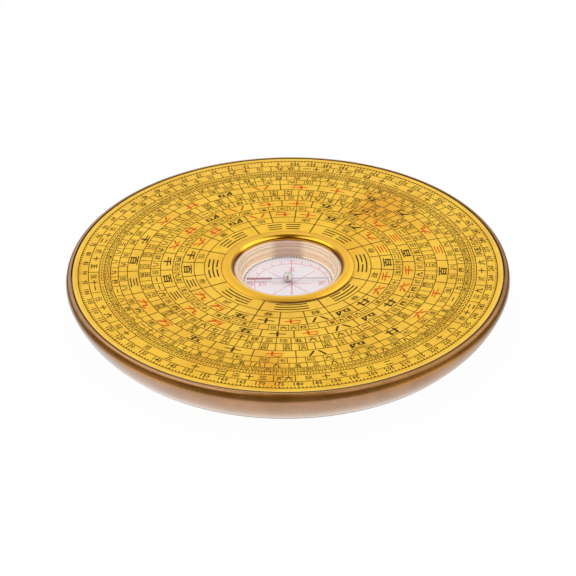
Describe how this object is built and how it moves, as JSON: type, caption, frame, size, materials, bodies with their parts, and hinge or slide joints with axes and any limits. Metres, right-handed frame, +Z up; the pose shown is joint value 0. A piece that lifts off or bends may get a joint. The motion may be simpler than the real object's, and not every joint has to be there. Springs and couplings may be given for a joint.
{
  "type": "geomancer's compass",
  "caption": "Round tabletop geomancer's compass: lacquered bowl-shaped body, printed gold dial plate, gilt bezel and a clear capsule with a free-turning needle",
  "frame": {"origin": "middle of the flat face that the compass stands on", "axes": "+Z up, along the turning axis of the body and of the needle; +X to the reader's right, +Y away from the reader; the needle lies along X with its red north end at -X"},
  "size_m": [0.1278, 0.1278, 0.0124],
  "materials": {
    "bronze_lacquer": "bronze metallic lacquer, satin, with fine rubs and specks, on a moulded resin body",
    "pad_rubber": "thin fine-grained rubber sheet",
    "film_white": "double-sided adhesive film",
    "dial_gold": "gold-tinted sheet with cloudy orange stains, printed in dark brown and red",
    "gilt": "satin gilt, turned",
    "clear_acrylic": "clear polished acrylic",
    "card_white": "white card printed in pink and black",
    "pale_wire": "pale bright wire",
    "pivot_brass": "turned brass",
    "needle_steel": "thin blued-grey steel",
    "sleeve_red": "dull red enamelled sleeve",
    "hub_metal": "nickel-plated, turned",
    "jewel_glass": "polished glass cup jewel",
    "dial_ink": "dark brown printing ink, a little proud of the gold",
    "dial_red_ink": "vermilion printing ink",
    "card_pink_ink": "pink printing ink on the card"
  },
  "bodies": {
    "housing": {"base_body": "bronze_lacquer", "base_pad": "pad_rubber", "plate_film": "film_white", "dial_plate": "dial_gold", "bezel_ring": "gilt", "capsule_cup": "clear_acrylic", "capsule_lens": "clear_acrylic", "compass_card": "card_white", "card_ring": "pale_wire", "pivot_bush": "pivot_brass", "pivot_pin": "needle_steel"},
    "needle": {"needle_strip": "needle_steel", "north_sleeve": "sleeve_red", "hub_cap": "hub_metal", "hub_jewel": "jewel_glass", "hub_collar": "hub_metal"}
  },
  "joints": [
    {"name": "needle_spin", "type": "hinge", "parent": "housing", "child": "needle", "pos_m": [0, 0, 0.0081], "axis": [0, 0, 1], "continuous": true}
  ]
}
